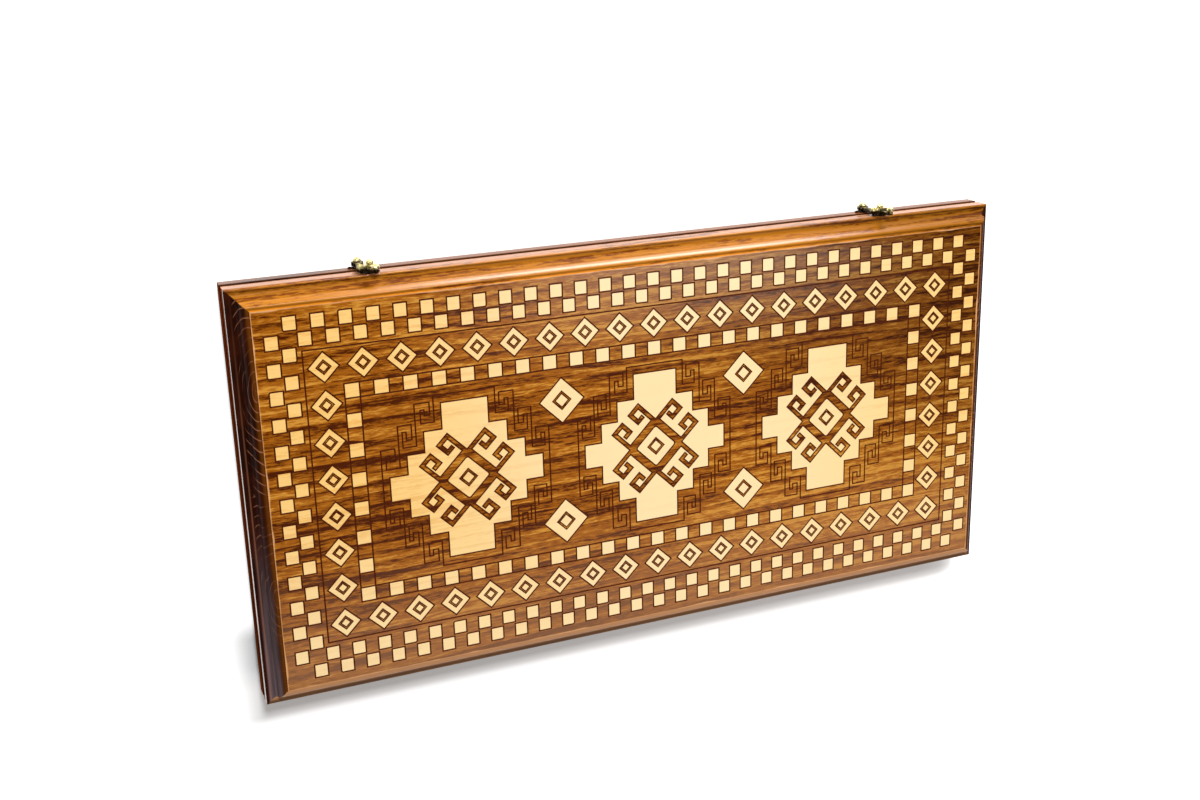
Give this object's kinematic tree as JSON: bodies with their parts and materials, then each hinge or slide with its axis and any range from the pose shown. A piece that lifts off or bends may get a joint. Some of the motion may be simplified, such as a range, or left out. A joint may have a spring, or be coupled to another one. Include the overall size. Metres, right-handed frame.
{
  "type": "backgammon board",
  "caption": "Folding wooden backgammon board: two moulded, hinged tray leaves with inlaid playing points, an engraved carpet pattern and swing-hook latches.",
  "frame": {"origin": "middle of the plain rear leaf's flat outer face, on which the closed board lies", "axes": "+X along the hinge, to the right in the picture; +Y from the hinge side to the latch side, up in the picture; +Z from the rear leaf to the patterned leaf, towards the picture's camera"},
  "size_m": [0.6, 0.3154, 0.0524],
  "materials": {
    "stained_panel": "walnut stain under gloss lacquer",
    "stained_rail": "walnut stain under gloss lacquer",
    "field_veneer": "satin lacquer",
    "dark_veneer": "satin lacquer",
    "pale_veneer": "satin lacquer",
    "hinge_brass": "brushed",
    "bright_brass": "polished",
    "aged_brass": "antiqued, dark in the hollows"
  },
  "bodies": {
    "base_leaf": {"base_panel": "stained_panel", "base_rail_hinge_side": "stained_rail", "base_rail_latch_side": "stained_rail", "base_rail_left": "stained_rail", "base_rail_right": "stained_rail", "base_field": "field_veneer", "base_points_dark": "dark_veneer", "base_points_light": "pale_veneer", "left_hinge_base_leaf": "hinge_brass", "left_hinge_pin": "bright_brass", "right_hinge_base_leaf": "hinge_brass", "right_hinge_pin": "bright_brass", "base_hinge_screws": "bright_brass", "left_hook_plate": "aged_brass", "left_hook_rivet": "aged_brass", "right_hook_plate": "aged_brass", "right_hook_rivet": "aged_brass", "base_latch_nails": "aged_brass"},
    "lid_leaf": {"lid_panel": "stained_panel", "lid_rail_hinge_side": "stained_rail", "lid_rail_latch_side": "stained_rail", "lid_rail_left": "stained_rail", "lid_rail_right": "stained_rail", "lid_field": "field_veneer", "lid_points_dark": "dark_veneer", "lid_points_light": "pale_veneer", "lid_hinge_screws": "bright_brass", "lid_latch_nails": "aged_brass", "left_hinge_lid_leaf": "hinge_brass", "right_hinge_lid_leaf": "hinge_brass", "left_catch_plate": "aged_brass", "left_catch_stud": "aged_brass", "right_catch_plate": "aged_brass", "right_catch_stud": "aged_brass"},
    "left_hook": {"left_hook": "aged_brass"},
    "right_hook": {"right_hook": "aged_brass"}
  },
  "joints": [
    {"name": "lid_hinge", "type": "hinge", "parent": "base_leaf", "child": "lid_leaf", "pos_m": [0, -0.1523, 0.0262], "axis": [1, 0, 0], "range_deg": [0, 180]},
    {"name": "left_hook_pivot", "type": "hinge", "parent": "base_leaf", "child": "left_hook", "pos_m": [-0.2052, 0.154, 0.0172], "axis": [0, -1, 0], "range_deg": [0, 120]},
    {"name": "right_hook_pivot", "type": "hinge", "parent": "base_leaf", "child": "right_hook", "pos_m": [0.1988, 0.154, 0.0172], "axis": [0, -1, 0], "range_deg": [0, 120]}
  ]
}
